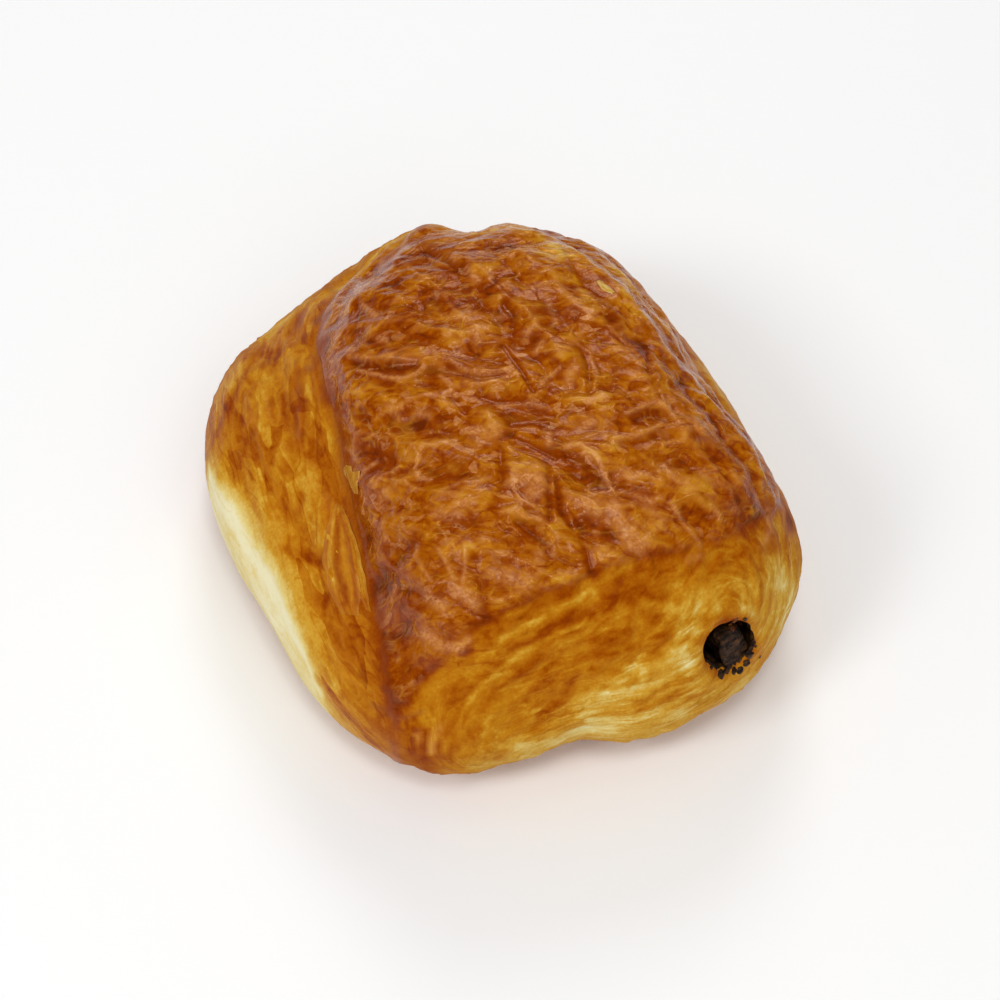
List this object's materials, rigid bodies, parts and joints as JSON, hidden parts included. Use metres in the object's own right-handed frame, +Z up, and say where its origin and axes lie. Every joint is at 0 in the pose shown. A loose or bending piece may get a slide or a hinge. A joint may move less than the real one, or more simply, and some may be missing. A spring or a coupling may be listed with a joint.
{
  "type": "pain au chocolat",
  "caption": "Baked pain au chocolat: a rolled laminated pastry with a glossy crumpled crust, a pale layered end and a dark chocolate baton showing at its end.",
  "frame": {"origin": "middle of the flat underside, under the middle of the whole pastry's box", "axes": "+Z up, +Y along the roll from the shown front end to the back end, +X towards the side with the broad crusted roll; the lower smooth shoulder lies at -X"},
  "size_m": [0.0858, 0.1026, 0.0449],
  "materials": {
    "baked_crust": "egg-washed baked laminated dough: glossy crumpled amber brown crust on top, golden sides and paler layered ends",
    "dark_chocolate": "dull dark baked chocolate with a rough melted and set surface"
  },
  "bodies": {
    "root": {"pastry": "baked_crust", "chocolate_stick": "dark_chocolate"}
  },
  "joints": []
}
